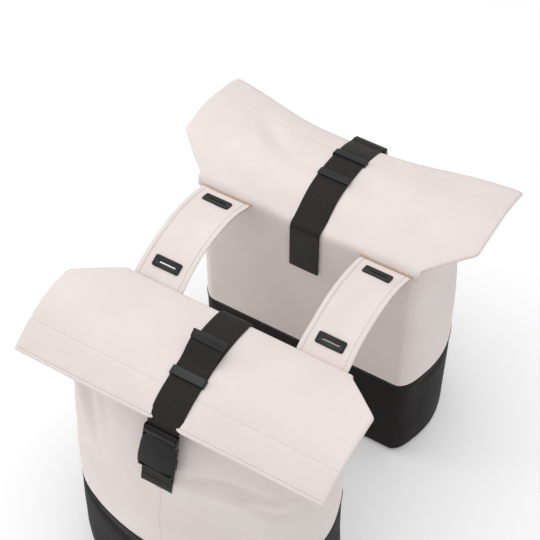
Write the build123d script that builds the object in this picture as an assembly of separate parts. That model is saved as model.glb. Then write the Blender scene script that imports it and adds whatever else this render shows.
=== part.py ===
"""Twin pannier bag for a bicycle's rear rack, in millimetres, +Z up.

Two fabric bags hang one each side of the rack from two arched bridge panels. Each bag has a folded flap,
a wide strap over the flap and a buckle on its front. +X points to the front of the bicycle, the left bag is
at +Y, the bags' bases stand on z = 0 and the origin is at the middle of the base. The left bag is modelled,
and the right bag is its mirror image.
"""
from build123d import *
import math
import os

os.makedirs("parts", exist_ok=True)

# ---- heights and the rack ----
deck_height = 500.0  # floor to the eyelets on the bridges
rack_gap = 194.0  # between the two bags' back panels
swing_gap = 0.3  # between the bridges' seams and a bag's back panel

# ---- one bag ----
bag_back_width = 375.0
bag_side_swell = 18.5  # each side panel swells this far past the back panel
corner_width = 330.0  # across the two rounded front corners
corner_depth_low = 192.0  # back panel to the front corners, at the boot's seam
corner_depth_mid = 178.0  # the same at the buckle's tab
corner_depth_top = 152.0  # the same at the top
front_depth_low = 233.0  # back panel to the middle of the front, at the boot's seam
front_depth_mid = 221.0  # the same at the buckle's tab
front_depth_top = 163.0  # the same at the top
lean_height = deck_height - 130.0  # floor to the level where the front starts to lean back
top_height = deck_height + 15.0  # floor to the level that the depths at the top are given at
back_corner_radius = 22.0
fabric_wall = 3.0
boot_height = 200.0
boot_edge_radius = 18.0
board_thickness = 3.0
board_clearance = 0.4
back_board_margin = 26.0  # back panel's edge to the board's edge, each side
back_board_top = deck_height - 33.0

# ---- flap, an arc from the ridge at the back to the free edge at the front ----
flap_radius = 205.0
flap_crest_reach = 83.0  # back panel to the flap's highest line
flap_crest_rise = 15.0  # that line above the eyelets
flap_ridge_reach = 9.0  # back panel to the ridge that the flap folds on
flap_edge_reach = 191.0  # back panel to the free edge
flap_flare_reach = 58.0  # back panel to where the flap is widest
flap_width = 492.0
flap_layer = 1.6
flap_core = 1.8  # room between the two layers
ridge_radius = 3.5
hem_depth = 48.0
hem_inset = 6.0
lining_inset = 1.0
core_gap = 0.1  # stiffener to the sheets above and below it
stiffener_setback = 2.0  # free edge to the stiffener
flap_clearance = 0.8  # under the flap, to the bag's rim

# ---- strap ----
strap_width = 50.0
webbing = 1.6
keeper_wall = 1.3
slip = 0.5  # keeper to webbing
strap_start_reach = 17.0  # back panel to where the loose strap starts
tail_end_reach = 72.0
clip_length = 10.0
clip_rise = 4.0  # the folded end stands this far over the tail
clip_overhang = 1.5  # past the webbing's edge, each side
keeper_reach = 120.0
keeper_length = 10.0
anchor_low = deck_height - 105.0
anchor_high = deck_height - 11.0
strap_over_edge = 6.0

# ---- buckle, in its own frame: n is outward from its face, t runs up along it ----
buckle_tilt = 18.9  # degrees from upright
buckle_reach = 212.5  # back panel to the middle of its face
buckle_drop = 63.0  # that point below the eyelets
plate_width = strap_width + 8.0
plate_top = 40.0
plate_foot = -34.0
plate_thickness = 3.6
plate_edge_round = 1.2
rib_half_width = 6.0
rib_foot = -20.0
rib_top = 10.0
rib_rise = 2.5  # the guide rib stands this far behind the plate
bar_height = 8.0
bar_slot = 7.0
slot_side_wall = 2.5
webbing_gap = 0.3  # buckle plate to the webbing on its face
catch_width = strap_width + 3.0
catch_top = 16.0
catch_setback = 2.0  # its foot above the plate's foot
catch_wall = 2.2
catch_depth = 6.4
catch_gap = 0.5
button_low = -20.0
button_high = 0.0
button_proud = 2.6  # how far a button stands out of the catch's side
button_width = 7.0
notch_room = 11.0  # open side above a button, for the strap to lift away
tab_low = deck_height - 134.0
tab_hold = -20.0  # top of the tab, as a place along the buckle
tab_gap = 0.4

overlap = 0.1  # pieces that are fused run this far into each other

# ---- bridges ----
bridge_spacing = 268.0  # between the two bridges' centre lines
bridge_width = 80.0
bridge_radius = 190.0
cover_thickness = 2.0
lining_thickness = 1.2
piping_radius = 1.0
eyelet_spacing = 136.0  # across the rack
eyelet_length = 43.4
eyelet_width = 17.0
eyelet_thickness = 2.2
eyelet_corner = 1.5
slot_length = 30.0
slot_width = 3.6
collar_wall = 1.8
collar_gap = 0.2
ring_margin = 2.6
ring_thickness = 1.5
seat_gap = 0.05

back_y = rack_gap / 2
ridge_y = back_y + flap_ridge_reach
edge_y = back_y + flap_edge_reach
crest_y = back_y + flap_crest_reach
crest_z = deck_height + flap_crest_rise - flap_radius
flap_thickness = 2 * flap_layer + flap_core
strap_low = flap_radius + keeper_wall + 2 * slip
tail_low = strap_low + webbing + slip / 2
strap_top = tail_low + webbing
buckle_y = back_y + buckle_reach
buckle_z = deck_height - buckle_drop


def bag_outline(corner_reach, front_reach, inset=0.0):
    """A bag seen from above, or its inside: straight back, swelling sides and a round front."""
    corner_inset = inset * math.sqrt(0.5)
    half_back = bag_back_width / 2 - inset
    half_corner = corner_width / 2 - corner_inset
    half_middle = bag_back_width / 2 + bag_side_swell - inset
    low_y = back_y + inset
    middle_y = back_y + corner_reach / 2
    corner_y = back_y + corner_reach - corner_inset
    front_y = back_y + front_reach - inset
    back = Line((-half_back, low_y), (half_back, low_y))
    side = ThreePointArc((half_back, low_y), (half_middle, middle_y), (half_corner, corner_y))
    front = ThreePointArc((half_corner, corner_y), (0, front_y), (-half_corner, corner_y))
    other = ThreePointArc((-half_corner, corner_y), (-half_middle, middle_y), (-half_back, low_y))
    face = make_face(back + side + front + other)
    back_corners = face.vertices().sort_by(Axis.Y)[:2]
    return fillet(back_corners, max(back_corner_radius - inset, 1))


def body_block(inset, overrun):
    """The pale upper part of a bag as a solid block, from the boot's seam to above the flap."""
    low = Pos(0, 0, boot_height - overrun) * bag_outline(corner_depth_low, front_depth_low, inset)
    middle = Pos(0, 0, lean_height) * bag_outline(corner_depth_mid, front_depth_mid, inset)
    top = Pos(0, 0, top_height + overrun) * bag_outline(corner_depth_top, front_depth_top, inset)
    return loft([low, middle, top], ruled=True)


def flap_cylinder(radius):
    """All that lies inside one radius of the flap's arc."""
    return Pos(0, crest_y, crest_z) * Rot(0, 90, 0) * Cylinder(radius, 2 * bag_back_width)


def body_shell():
    """Open at the top, where its rim follows the underside of the flap, and at the bottom, into the boot."""
    shell = body_block(0, 0) - body_block(fabric_wall, 1)
    shell = shell & flap_cylinder(flap_radius - flap_thickness - flap_clearance)
    return shell - ridge_roll(ridge_radius + flap_clearance, 2 * bag_back_width)


def boot_block(inset):
    """The black lower part, its bottom edge rounded, or the room inside it."""
    face = bag_outline(corner_depth_low, front_depth_low, inset)
    block = extrude(Pos(0, 0, inset) * face, boot_height - inset)
    return fillet(block.edges().group_by(Axis.Z)[0], boot_edge_radius - inset)


def boot():
    return boot_block(0) - boot_block(fabric_wall)


def base_board():
    """A stiff sheet lying loose on the bottom, inside the rounded edge."""
    inset = boot_edge_radius + board_clearance
    face = bag_outline(corner_depth_low, front_depth_low, inset)
    return extrude(Pos(0, 0, fabric_wall + board_clearance / 2) * face, board_thickness)


def back_board():
    """A stiff sheet standing against the back panel, inside the bag."""
    low = fabric_wall + board_clearance + board_thickness + boot_edge_radius
    centre_y = back_y + fabric_wall + board_clearance + board_thickness / 2
    width = bag_back_width - 2 * back_board_margin
    centre = Pos(0, centre_y, (low + back_board_top) / 2)
    return centre * Box(width, board_thickness, back_board_top - low)


def arc_point(radius, reach_y):
    """Where the arc of a given radius stands, at the angle that the flap has over reach_y."""
    angle = math.asin((reach_y - crest_y) / flap_radius)
    return (crest_y + radius * math.sin(angle), crest_z + radius * math.cos(angle))


def flap_band(low, high, from_y, to_y, width):
    """A strip bent round the flap's arc, between two radii and two places along it."""
    middle_y = (from_y + to_y) / 2
    outline = Line(arc_point(low, from_y), arc_point(high, from_y))
    outline += ThreePointArc(arc_point(high, from_y), arc_point(high, middle_y), arc_point(high, to_y))
    outline += Line(arc_point(high, to_y), arc_point(low, to_y))
    outline += ThreePointArc(arc_point(low, to_y), arc_point(low, middle_y), arc_point(low, from_y))
    return slab(make_face(outline), width)


def slab(profile, width):
    """A profile drawn in Y and Z, as thick as width about the middle plane x = 0."""
    return extrude(Plane.YZ * profile, width / 2, both=True)


def flap_plan(inset):
    """The flap from above: as wide as the back at its ridge, flaring to its full width."""
    narrow = bag_back_width / 2 - inset
    wide = flap_width / 2 - inset
    flare_y = back_y + flap_flare_reach
    inner_y = ridge_y - ridge_radius
    outer_y = edge_y + flap_thickness
    right = [(narrow, inner_y), (wide, flare_y), (wide, outer_y)]
    left = [(-x, y) for x, y in reversed(right)]
    return extrude(Polygon(*right, *left, align=None), top_height + flap_radius)


def ridge_roll(radius, length):
    """A roll about the line that the flap folds on."""
    ridge_z = arc_point(flap_radius, ridge_y)[1] - ridge_radius
    return Pos(0, ridge_y, ridge_z) * Rot(0, 90, 0) * Cylinder(radius, length)


def flap_top():
    """The upper sheet, with the rounded ridge that it folds on."""
    roll = ridge_roll(ridge_radius, bag_back_width)
    sheet = flap_band(flap_radius - flap_layer, flap_radius, ridge_y, edge_y, flap_width)
    return (sheet & flap_plan(0)) + roll


def flap_lining():
    """The lower sheet of the flap."""
    start_y = ridge_y + 2 * ridge_radius
    low = flap_radius - flap_thickness
    sheet = flap_band(low, low + flap_layer, start_y, edge_y, flap_width)
    return sheet & flap_plan(lining_inset)


def flap_stiffener():
    """The flat bar inside the hem that keeps the free edge straight."""
    low = flap_radius - flap_layer - flap_core
    high = low + flap_core
    to_y = edge_y - stiffener_setback
    sheet = flap_band(low + core_gap, high - core_gap, edge_y - hem_depth, to_y, flap_width)
    return sheet & flap_plan(hem_inset)


def buckle_point(n, t):
    """Y and Z of a place given in the buckle's own frame."""
    tilt = math.radians(buckle_tilt)
    along_y = n * math.cos(tilt) - t * math.sin(tilt)
    along_z = n * math.sin(tilt) + t * math.cos(tilt)
    return (buckle_y + along_y, buckle_z + along_z)


def buckle_box(x_from, x_to, t_from, t_to, n_from, n_to):
    """A block given in the buckle's own frame."""
    centre_y, centre_z = buckle_point((n_from + n_to) / 2, (t_from + t_to) / 2)
    block = Box(x_to - x_from, n_to - n_from, t_to - t_from)
    return Pos((x_from + x_to) / 2, centre_y, centre_z) * Rot(buckle_tilt, 0, 0) * block


def strap_webbing():
    """One length of webbing: over the flap, round the buckle's bar, and back on itself as the tail."""
    start_y = back_y + strap_start_reach
    tail_y = back_y + tail_end_reach
    lower = flap_band(strap_low, strap_low + webbing, start_y, edge_y, strap_width)
    tail = flap_band(tail_low, strap_top, tail_y, edge_y, strap_width)
    bar_top = plate_top
    bar_low = bar_top - bar_height
    down_t = bar_top + strap_over_edge
    ends = [
        arc_point(strap_low, edge_y - 1),
        arc_point(strap_top, edge_y - 1),
        buckle_point(2 * webbing + slip / 2, down_t),
        buckle_point(webbing_gap, down_t),
    ]
    bend = slab(Polygon(*ends, align=None), strap_width)
    half = strap_width / 2
    turn_t = bar_low - webbing - slip
    face = buckle_box(-half, half, turn_t, down_t, webbing_gap, 2 * webbing + slip / 2)
    hook = buckle_box(-half, half, turn_t, bar_low - slip, -plate_thickness, webbing_gap + overlap)
    return lower + tail + bend + face + hook


def tail_clip():
    """The folded and stitched end of the tail, thicker than the webbing."""
    from_y = back_y + tail_end_reach - clip_length
    to_y = back_y + tail_end_reach
    width = strap_width + 2 * clip_overhang
    band = flap_band(tail_low, strap_top + clip_rise, from_y, to_y, width)
    return band - strap_webbing()


def keeper():
    """A flat loop that holds the tail down on the strap."""
    from_y = back_y + keeper_reach - keeper_length / 2
    to_y = from_y + keeper_length
    outer_width = strap_width + 2 * (slip + keeper_wall)
    outer = flap_band(flap_radius + slip, strap_top + slip + keeper_wall, from_y, to_y, outer_width)
    hole = flap_band(strap_low - slip, strap_top + slip, from_y - 1, to_y + 1, strap_width + 2 * slip)
    return outer - hole


def buckle_plate():
    """The strap's half of the buckle: a face plate with a bar and slot for the webbing, and a guide rib."""
    half = plate_width / 2
    plate = buckle_box(-half, half, plate_foot, plate_top, -plate_thickness, 0)
    plate = fillet(plate.edges().filter_by(Axis.X).sort_by(Axis.Y)[-2:], plate_edge_round)
    slot_half = half - slot_side_wall
    slot_top = plate_top - bar_height
    slot = buckle_box(-slot_half, slot_half, slot_top - bar_slot, slot_top, -plate_thickness - 1, 1)
    rib_low = -plate_thickness - rib_rise
    rib = buckle_box(-rib_half_width, rib_half_width, rib_foot, rib_top, rib_low, -plate_thickness + overlap)
    return plate - slot + rib


def catch_levels():
    front = -plate_thickness - catch_gap
    return front - catch_depth, front


def buckle_catch():
    """The bag's half of the buckle: a shallow tray with notched sides, open to the front."""
    low_n, high_n = catch_levels()
    half = catch_width / 2
    low_t = plate_foot + catch_setback
    tray = buckle_box(-half, half, low_t, catch_top, low_n, high_n)
    inner = half - catch_wall
    room = buckle_box(-inner, inner, low_t + catch_wall, catch_top + 1, low_n + catch_wall, high_n + 1)
    tray -= room
    for side in (-1, 1):
        middle = side * half
        notch = buckle_box(
            middle - catch_wall - 1,
            middle + catch_wall + 1,
            button_low - slip,
            button_high + notch_room,
            low_n + catch_wall,
            high_n + 1,
        )
        tray -= notch
    return tray


def release_button(side):
    """One of the two buttons squeezed together to open the buckle, side +1 to the front of the bicycle."""
    low_n, high_n = catch_levels()
    outer = catch_width / 2 + button_proud
    inner = outer - button_width
    low_x, high_x = sorted((side * inner, side * outer))
    return buckle_box(low_x, high_x, button_low, button_high, low_n + catch_wall + slip, high_n)


def front_wall_y(height):
    """Where the bag's front stands at its middle, above lean_height."""
    share = (height - lean_height) / (top_height - lean_height)
    return back_y + front_depth_mid + share * (front_depth_top - front_depth_mid)


def front_tab():
    """Webbing sewn to the front of the bag at its low end, which stands off it to hold the buckle's catch."""
    low_y = front_wall_y(tab_low) + tab_gap
    high_y, high_z = buckle_point(catch_levels()[0] - seat_gap, tab_hold)
    corners = [(low_y, tab_low), (high_y - webbing, high_z), (high_y, high_z), (low_y + webbing, tab_low)]
    return slab(Polygon(*corners, align=None), strap_width)


def strap_anchor():
    """The strap's fixed end, sewn flat on the bag's back panel."""
    centre = Pos(0, back_y - webbing / 2, (anchor_low + anchor_high) / 2)
    return centre * Box(strap_width, webbing, anchor_high - anchor_low)


arch_z = deck_height - math.sqrt(bridge_radius**2 - (eyelet_spacing / 2) ** 2)
arch_end_y = back_y - swing_gap - 2 * piping_radius
piping_y = back_y - swing_gap - piping_radius
piping_z = arch_z + math.sqrt(bridge_radius**2 - arch_end_y**2)


def arch_sheet(high, thickness):
    """A strip of the arch, as wide as a bridge, with its upper face at radius high."""
    low = high - thickness
    ring = Cylinder(high, bridge_width) - Cylinder(low, bridge_width + 2)
    ring = Pos(0, 0, arch_z) * Rot(0, 90, 0) * ring
    return ring & Pos(0, 0, arch_z + bridge_radius) * Box(bridge_width + 2, 2 * arch_end_y, bridge_radius)


def at_eyelet(side, radius):
    """A place on the arch where an eyelet sits, its Z outward from the arch's axis."""
    angle = math.degrees(math.asin(eyelet_spacing / 2 / bridge_radius))
    return Pos(0, 0, arch_z) * Rot(-side * angle, 0, 0) * Pos(0, 0, radius)


def bridge_sheet(high, thickness):
    sheet = arch_sheet(high, thickness)
    for side in (-1, 1):
        hole_length = slot_length + 2 * (collar_wall + collar_gap)
        hole_width = slot_width + 2 * (collar_wall + collar_gap)
        sheet -= at_eyelet(side, bridge_radius) * Box(hole_length, hole_width, 20)
    return sheet


def ring_level():
    """Radius of the back plates' upper face, clear of the hollow side of the lining."""
    under = bridge_radius - cover_thickness - lining_thickness
    return math.sqrt(under**2 - (eyelet_width / 2) ** 2) - seat_gap


def eyelet(side):
    """A slotted bezel on the bridge, with a collar through the two sheets."""
    bezel_z = seat_gap + eyelet_thickness / 2
    bezel = Pos(0, 0, bezel_z) * Box(eyelet_length, eyelet_width, eyelet_thickness)
    bezel = fillet(bezel.edges().filter_by(Axis.Z), eyelet_corner)
    collar_low = ring_level() - ring_thickness - bridge_radius
    collar_z = (collar_low + bezel_z) / 2
    collar = Box(slot_length + 2 * collar_wall, slot_width + 2 * collar_wall, bezel_z - collar_low)
    body = bezel + Pos(0, 0, collar_z) * collar - Box(slot_length, slot_width, 20)
    return at_eyelet(side, bridge_radius) * body


def back_ring(side):
    """The plate under the bridge that an eyelet's collar snaps into."""
    ring = Box(eyelet_length - 2 * ring_margin, eyelet_width - 2 * ring_margin, ring_thickness)
    room_length = slot_length + 2 * (collar_wall + collar_gap)
    room_width = slot_width + 2 * (collar_wall + collar_gap)
    ring -= Box(room_length, room_width, 2 * ring_thickness)
    return at_eyelet(side, ring_level() - ring_thickness / 2) * ring


def seam_piping():
    """The bound seam between a bridge and a bag, which the bag swings on."""
    return Pos(0, piping_y, piping_z) * Rot(0, 90, 0) * Cylinder(piping_radius, bridge_width)


def write(name, *shapes):
    """Writes one node, a group when it has several solids."""
    solids = [solid for shape in shapes for solid in shape.solids()]
    node = solids[0] if len(solids) == 1 else Compound(solids)
    node.label = name
    export_step(node, f"parts/{name}.step")


def write_pair(name, solid):
    """Writes the left bag's piece and its mirror image for the right bag."""
    write(f"left_{name}", solid)
    write(f"right_{name}", mirror(solid, about=Plane.XZ))


def write_bags():
    write_pair("body_shell", body_shell())
    write_pair("boot", boot())
    write_pair("base_board", base_board())
    write_pair("back_board", back_board())
    write_pair("strap_anchor", strap_anchor())
    write_pair("front_tab", front_tab())
    write_pair("buckle_catch", buckle_catch())
    write_pair("flap_top", flap_top())
    write_pair("flap_lining", flap_lining())
    write_pair("flap_stiffener", flap_stiffener())
    write_pair("strap_webbing", strap_webbing())
    write_pair("strap_tail_clip", tail_clip())
    write_pair("buckle_plate", buckle_plate())
    write_pair("strap_keeper", keeper())
    write_pair("buckle_front_button", release_button(1))
    write_pair("buckle_rear_button", release_button(-1))


def write_bridges():
    cover = bridge_sheet(bridge_radius, cover_thickness)
    lining = bridge_sheet(bridge_radius - cover_thickness, lining_thickness)
    places = {"rear": Pos(-bridge_spacing / 2, 0, 0), "front": Pos(bridge_spacing / 2, 0, 0)}
    for place, shift in places.items():
        write(f"{place}_bridge_cover", shift * cover)
        write(f"{place}_bridge_lining", shift * lining)
        write(f"{place}_left_eyelet", shift * eyelet(1))
        write(f"{place}_right_eyelet", shift * eyelet(-1))
    write("eyelet_back_plates", *[shift * back_ring(side) for shift in places.values() for side in (1, -1)])
    piping = [shift * seam_piping() for shift in places.values()]
    write("left_seam_piping", *piping)
    write("right_seam_piping", *[mirror(rod, about=Plane.XZ) for rod in piping])


write_bags()
write_bridges()
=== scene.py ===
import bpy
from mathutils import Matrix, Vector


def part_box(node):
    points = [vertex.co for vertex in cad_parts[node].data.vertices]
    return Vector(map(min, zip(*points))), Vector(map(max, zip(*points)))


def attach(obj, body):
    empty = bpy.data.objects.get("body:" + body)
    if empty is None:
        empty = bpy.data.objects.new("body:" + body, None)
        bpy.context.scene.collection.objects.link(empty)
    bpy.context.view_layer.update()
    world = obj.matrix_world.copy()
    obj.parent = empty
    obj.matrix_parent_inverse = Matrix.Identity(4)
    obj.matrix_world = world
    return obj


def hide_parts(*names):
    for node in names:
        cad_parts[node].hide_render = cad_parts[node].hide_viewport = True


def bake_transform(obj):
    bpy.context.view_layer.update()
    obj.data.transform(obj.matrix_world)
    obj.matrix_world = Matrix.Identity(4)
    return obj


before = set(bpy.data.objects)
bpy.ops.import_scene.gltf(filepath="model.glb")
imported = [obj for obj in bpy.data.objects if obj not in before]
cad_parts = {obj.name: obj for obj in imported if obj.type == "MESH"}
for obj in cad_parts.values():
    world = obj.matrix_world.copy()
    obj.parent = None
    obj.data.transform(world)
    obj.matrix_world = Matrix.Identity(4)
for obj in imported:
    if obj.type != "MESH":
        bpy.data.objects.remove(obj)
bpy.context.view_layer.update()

import bisect
import math

import bmesh
import bpy
from mathutils import Matrix, Vector, noise

# Twin pannier bag. Lengths in the shape functions are millimetres in the CAD's frame: +X is the front of
# the bicycle, the left bag is at +Y and the right bag at -Y. A side's shape is worked out at +Y, then turned.
MM = 0.001
SIDES = {"left": 1, "right": -1}


def node_box(node):
    low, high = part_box(node)
    return low / MM, high / MM


# ---- places taken from the CAD nodes ----
shell_low, shell_high = node_box("left_body_shell")
cover_low, cover_high = node_box("rear_bridge_cover")
keeper_low, keeper_high = node_box("left_strap_keeper")
eyelet_low, eyelet_high = node_box("rear_left_eyelet")
flap_high = node_box("left_flap_top")[1]
strap_high = node_box("left_strap_webbing")[1]
tab_low = node_box("left_front_tab")[0]
anchor_low = node_box("left_strap_anchor")[0]
clip_low = node_box("left_strap_tail_clip")[0]

BACK_Y = shell_low.y
BOOT_TOP = shell_low.z
CREST_Z = flap_high.z
FREE_EDGE_Y = flap_high.y
STRAP_HALF = strap_high.x
FLAP_HALF = flap_high.x

# ---- the bag's cloth: its places from back to front and from the boot's seam up, as the CAD has them ----
FLAP_RADIUS = 205.0
CREST_Y = BACK_Y + 83.0
RIDGE_Y = BACK_Y + 9.0
BACK_HALF = 187.5
SIDE_HALF = shell_high.x
CORNER_HALF = 167.0
# how far the front's corners and its middle stand from the back: at the boot's seam, where the bag starts
# to lean in, and at the mouth
CORNER_REACH = (192.0, 178.0, 152.0)
FRONT_REACH = (234.0, 221.0, 163.0)
DECK_Z = flap_high.z - 15.0
LEAN_Z = DECK_Z - 130.0
MOUTH_Z = CREST_Z
BACK_CORNER = 22.0
ARCH_RADIUS = 190.0
ARCH_Z = cover_high.z - ARCH_RADIUS
WEBBING = 1.5
BODY_WALL = 1.6
BOOT_WALL = 1.8
FLAP_WALL = 0.8
LINING_WALL = 1.0
COVER_WALL = 1.5
RING_LENGTH = 8.2  # a step round the bag, as cloth
# each buckle's tilt from upright, and the middle of its face: the left one leans out further at its top
BUCKLE_TILT = {"right": math.radians(18.9), "left": math.radians(12.5)}
BUCKLE_Y = {"right": BACK_Y + 212.5, "left": BACK_Y + 216.0}
BUCKLE_Z = {"right": DECK_Z - 63.0, "left": DECK_Z - 61.5}


# ---------------------------------------------------------------- small helpers
def smooth(value, low, high):
    """0 below low, 1 above high, and an even turn between."""
    share = min(max((value - low) / (high - low), 0.0), 1.0)
    return share * share * (3 - 2 * share)


def bell(value, centre, width):
    return math.exp(-(((value - centre) / width) ** 2))


def spread(low, high, step):
    """Evenly spaced values from low to high, about step apart."""
    count = max(1, round((high - low) / step))
    return [low + (high - low) * i / count for i in range(count + 1)]


def with_creases(values, creases, gap):
    """Adds close lines either side of each crease, so that it stays crisp."""
    low, high = values[0], values[-1]
    near = [c + k * gap for c in creases for k in (-2.5, -1, 0, 1, 2.5) if low < c + k * gap < high]
    kept = [v for v in values if all(abs(v - n) > gap for n in near) or v in (low, high)]
    return sorted(set(kept + near))


def arc_through(start, middle, end, count):
    """Points on the circle through three, from start up to just before end."""
    (ax, ay), (bx, by), (cx, cy) = start, middle, end
    d = 2 * (ax * (by - cy) + bx * (cy - ay) + cx * (ay - by))
    a2, b2, c2 = ax * ax + ay * ay, bx * bx + by * by, cx * cx + cy * cy
    ox = (a2 * (by - cy) + b2 * (cy - ay) + c2 * (ay - by)) / d
    oy = (a2 * (cx - bx) + b2 * (ax - cx) + c2 * (bx - ax)) / d
    radius = math.hypot(ax - ox, ay - oy)
    first = math.atan2(ay - oy, ax - ox)
    turn_mid = (math.atan2(by - oy, bx - ox) - first) % math.tau
    turn = (math.atan2(cy - oy, cx - ox) - first) % math.tau
    if turn_mid > turn:
        turn -= math.tau
    steps = [first + turn * i / count for i in range(count)]
    return [(ox + radius * math.cos(a), oy + radius * math.sin(a)) for a in steps]


class Line2D:
    """A smooth line through points in two directions, measured along its length."""

    def __init__(self, points, step=1.0):
        ends = [Vector(points[0]) * 2 - Vector(points[1])]
        ends += [Vector(p) for p in points]
        ends += [Vector(points[-1]) * 2 - Vector(points[-2])]
        self.points = []
        for a, b, c, d in zip(ends, ends[1:], ends[2:], ends[3:]):
            count = max(2, math.ceil((c - b).length / step))
            for i in range(count):
                t = i / count
                cubic = 2 * b + (c - a) * t + (2 * a - 5 * b + 4 * c - d) * t**2
                self.points.append((cubic + (3 * b - a - 3 * c + d) * t**3) / 2)
        self.points.append(ends[-2])
        self.reach = [0.0]
        for a, b in zip(self.points, self.points[1:]):
            self.reach.append(self.reach[-1] + (b - a).length)
        self.length = self.reach[-1]

    def at(self, along):
        """The place, and the direction to the line's left side turned out, at a length along it."""
        i = min(max(bisect.bisect_right(self.reach, along) - 1, 0), len(self.points) - 2)
        a, b = self.points[i], self.points[i + 1]
        run = (b - a).normalized()
        spot = a + run * (along - self.reach[i])
        return spot, Vector((-run.y, run.x)), run


def turned(side, x, y, z):
    """A place worked out for the left bag, on the bag it is for."""
    return Vector((x, SIDES[side] * y, z)) * MM


def blank():
    """An empty bmesh with a UV map."""
    bm = bmesh.new()
    bm.loops.layers.uv.new("UVMap")
    return bm


def as_piece(bm, name, material, sharp=None):
    """Makes a mesh object from a bmesh. Edges that turn more than sharp degrees stay crisp."""
    mesh = bpy.data.meshes.new(name)
    bm.to_mesh(mesh)
    bm.free()
    for polygon in mesh.polygons:
        polygon.use_smooth = True
    piece = bpy.data.objects.new(name, mesh)
    bpy.context.scene.collection.objects.link(piece)
    mesh.materials.append(material)
    if sharp is not None:
        mesh.set_sharp_from_angle(angle=math.radians(sharp))
    return piece


def rework(piece, change):
    """Changes a piece's mesh by a function that takes it as a bmesh."""
    bm = bmesh.new()
    bm.from_mesh(piece.data)
    change(bm)
    bm.to_mesh(piece.data)
    bm.free()


def wall(piece, thickness, sharp, inward=True, fine=False, edge=None):
    """Gives a sheet its thickness in millimetres. fine halves the size of its faces, and edge rounds its edges
    by (radius, segments, least turn in degrees). Edges that still turn more than sharp degrees stay crisp."""
    solid = piece.modifiers.new("Wall", "SOLIDIFY")
    solid.thickness = thickness * MM
    solid.offset = -1 if inward else 1
    if fine:
        finer = piece.modifiers.new("Fine", "SUBSURF")
        finer.levels = finer.render_levels = 1
    if edge:
        soft = piece.modifiers.new("Edge", "BEVEL")
        soft.width = edge[0] * MM
        soft.segments = edge[1]
        soft.limit_method = "ANGLE"
        soft.angle_limit = math.radians(edge[2])
    graph = bpy.context.evaluated_depsgraph_get()
    made = bpy.data.meshes.new_from_object(piece.evaluated_get(graph))
    piece.modifiers.clear()
    piece.data = made
    made.set_sharp_from_angle(angle=math.radians(sharp))


def cloth_piece(name, columns, rows, shape, material, loop=False, hole=None):
    """A sheet: a grid whose lines stand at columns across and rows along, bent by shape(across, along).
    Its UV map is the flat cut in metres. Faces whose middle is inside hole(across, along) are cut out."""
    bm = blank()
    across, along = len(columns) - 1, len(rows) - 1
    bmesh.ops.create_grid(bm, x_segments=across, y_segments=along, size=0.5, calc_uvs=True)
    uv = bm.loops.layers.uv.active
    for face in bm.faces:
        for corner in face.loops:
            i = round((corner.vert.co.x + 0.5) * across)
            j = round((corner.vert.co.y + 0.5) * along)
            corner[uv].uv = (columns[i] * MM, rows[j] * MM)
    if hole:
        cut = []
        for face in bm.faces:
            middle = face.calc_center_median()
            i = int((middle.x + 0.5) * across)
            j = int((middle.y + 0.5) * along)
            if hole((columns[i] + columns[i + 1]) / 2, (rows[j] + rows[j + 1]) / 2):
                cut.append(face)
        bmesh.ops.delete(bm, geom=cut, context="FACES")
    for vert in bm.verts:
        i = round((vert.co.x + 0.5) * across)
        j = round((vert.co.y + 0.5) * along)
        vert.co = shape(columns[i], rows[j])
    if loop:
        bmesh.ops.remove_doubles(bm, verts=bm.verts[:], dist=2e-5)
    return as_piece(bm, name, material)


def soft_block(bm, centre, size, edge, segments, turn):
    """A rounded block, added to a bmesh."""
    made = bmesh.ops.create_cube(bm, size=1.0)["verts"]
    bmesh.ops.scale(bm, vec=Vector(size) * MM, verts=made)
    edges = list({e for v in made for e in v.link_edges})
    got = bmesh.ops.bevel(
        bm, geom=edges, offset=edge * MM, segments=segments, profile=0.5, material=-1, affect="EDGES"
    )
    made = list({v for f in got["faces"] for v in f.verts} | {v for v in made if v.is_valid})
    bmesh.ops.transform(bm, matrix=turn, verts=made)
    bmesh.ops.translate(bm, vec=Vector(centre), verts=made)


def rod(bm, radius, length, segments, turn=None, centre=None):
    """A round bar, added to a bmesh standing on end, then turned and put in its place."""
    made = bmesh.ops.create_cone(
        bm, cap_ends=True, segments=segments, radius1=radius * MM, radius2=radius * MM, depth=length * MM
    )["verts"]
    if turn is not None:
        bmesh.ops.transform(bm, matrix=turn, verts=made)
        bmesh.ops.translate(bm, vec=centre, verts=made)


def buckle_place(side, x, t, n):
    """A place in the buckle's own frame: t up along its face and n outward from it."""
    tilt = BUCKLE_TILT[side]
    y = BUCKLE_Y[side] + n * math.cos(tilt) - t * math.sin(tilt)
    z = BUCKLE_Z[side] + n * math.sin(tilt) + t * math.cos(tilt)
    return turned(side, x, y, z)


# ---------------------------------------------------------------- materials
def colour(hex_value):
    """An sRGB hex colour as linear red, green, blue and alpha."""
    parts = [int(hex_value[i : i + 2], 16) / 255 for i in (1, 3, 5)]
    return [c / 12.92 if c <= 0.04045 else ((c + 0.055) / 1.055) ** 2.4 for c in parts] + [1.0]


def put(tree, kind, settings=None, **sockets):
    """Adds a node. A socket is named by its words, or i0, i1 by its place, and takes a value or an output."""
    made = tree.nodes.new("ShaderNode" + kind)
    for name, value in (settings or {}).items():
        setattr(made, name, value)
    for name, value in sockets.items():
        socket = made.inputs[int(name[1:])] if name[1:].isdigit() else made.inputs[name.replace("_", " ")]
        if isinstance(value, bpy.types.NodeSocket):
            tree.links.new(value, socket)
        else:
            socket.default_value = value
    return made


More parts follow.
